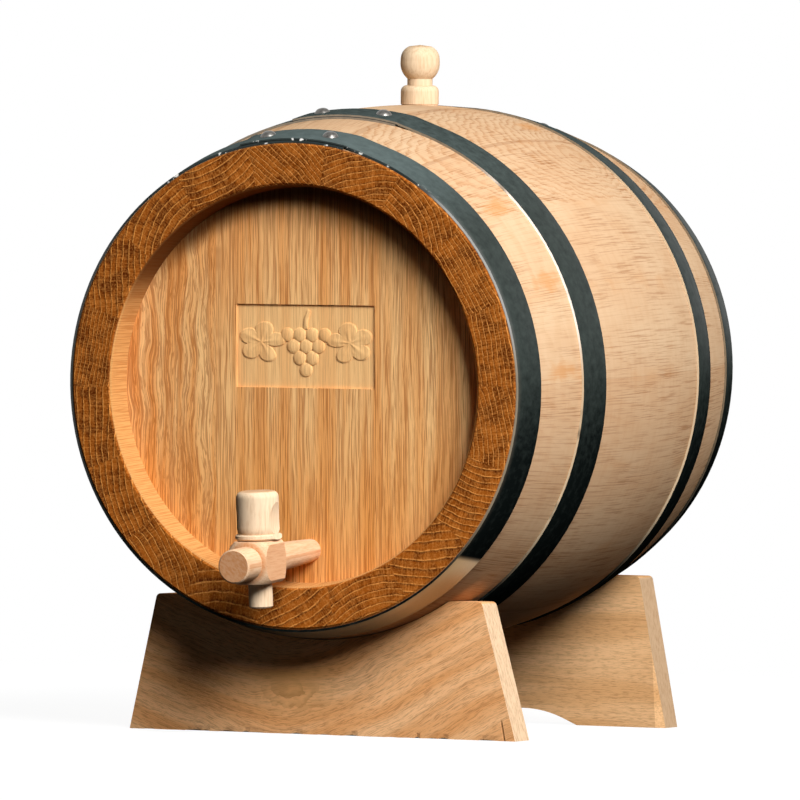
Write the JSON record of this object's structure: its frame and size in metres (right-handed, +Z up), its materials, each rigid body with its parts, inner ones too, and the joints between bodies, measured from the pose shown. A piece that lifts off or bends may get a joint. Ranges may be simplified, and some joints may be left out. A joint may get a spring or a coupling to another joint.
{
  "type": "oak cask liquor dispenser",
  "caption": "Small staved oak cask on cradle blocks, leaning a little towards its tap, with steel hoops, a turned bung on top and a wooden turn-key tap in its front head.",
  "frame": {"origin": "on the floor, under the middle of the whole object's box, which lies on the cask's own centre plane", "axes": "+Z up, +Y from the tap end towards the rear head, +X to the right seen from the tap end; the cask's axis leans 2.4 degrees down towards the tap"},
  "size_m": [0.222, 0.2914, 0.2812],
  "materials": {
    "stave_oak": "sanded pale oak, oiled orange-brown end grain",
    "head_oak": "oiled golden oak boards",
    "hoop_steel": "dark blue-grey zinc coat, satin, bright edges",
    "rivet_steel": "worn bright domes",
    "dowel_wood": "plain beech pins",
    "tap_body_wood": "turned pinkish hardwood",
    "tap_key_wood": "turned light maple",
    "bung_wood": "turned pale cream wood",
    "cradle_oak": "sawn and sanded oak"
  },
  "bodies": {
    "stand": {"cradle_front": "cradle_oak", "cradle_rear": "cradle_oak"},
    "cask": {"bung_stave": "stave_oak", "stave_02": "stave_oak", "stave_03": "stave_oak", "stave_04": "stave_oak", "stave_05": "stave_oak", "stave_06": "stave_oak", "stave_07": "stave_oak", "stave_08": "stave_oak", "stave_09": "stave_oak", "stave_10": "stave_oak", "stave_11": "stave_oak", "stave_12": "stave_oak", "stave_13": "stave_oak", "stave_14": "stave_oak", "stave_15": "stave_oak", "stave_16": "stave_oak", "stave_17": "stave_oak", "stave_18": "stave_oak", "front_head_hoop": "hoop_steel", "front_quarter_hoop": "hoop_steel", "rear_quarter_hoop": "hoop_steel", "rear_head_hoop": "hoop_steel", "front_head_rivets": "rivet_steel", "front_quarter_rivets": "rivet_steel", "rear_quarter_rivets": "rivet_steel", "rear_head_rivets": "rivet_steel", "front_head_board_1": "head_oak", "front_head_board_2": "head_oak", "front_head_board_3": "head_oak", "rear_head_board_1": "head_oak", "rear_head_board_2": "head_oak", "rear_head_board_3": "head_oak", "front_head_dowels": "dowel_wood", "rear_head_dowels": "dowel_wood", "tap_body": "tap_body_wood"},
    "key": {"tap_key": "tap_key_wood"},
    "bung": {"bung": "bung_wood"}
  },
  "joints": [
    {"name": "cask_lift", "type": "slide", "parent": "stand", "child": "cask", "axis": [0, 0, 1], "range_m": [0, 0.12]},
    {"name": "bung_pull", "type": "slide", "parent": "cask", "child": "bung", "axis": [0.0131, -0.0419, 0.999], "range_m": [0, 0.045]},
    {"name": "tap_turn", "type": "hinge", "parent": "cask", "child": "key", "pos_m": [0.002, -0.12069, 0.07121], "axis": [-0.0227, -0.0715, 0.9972], "continuous": true}
  ]
}
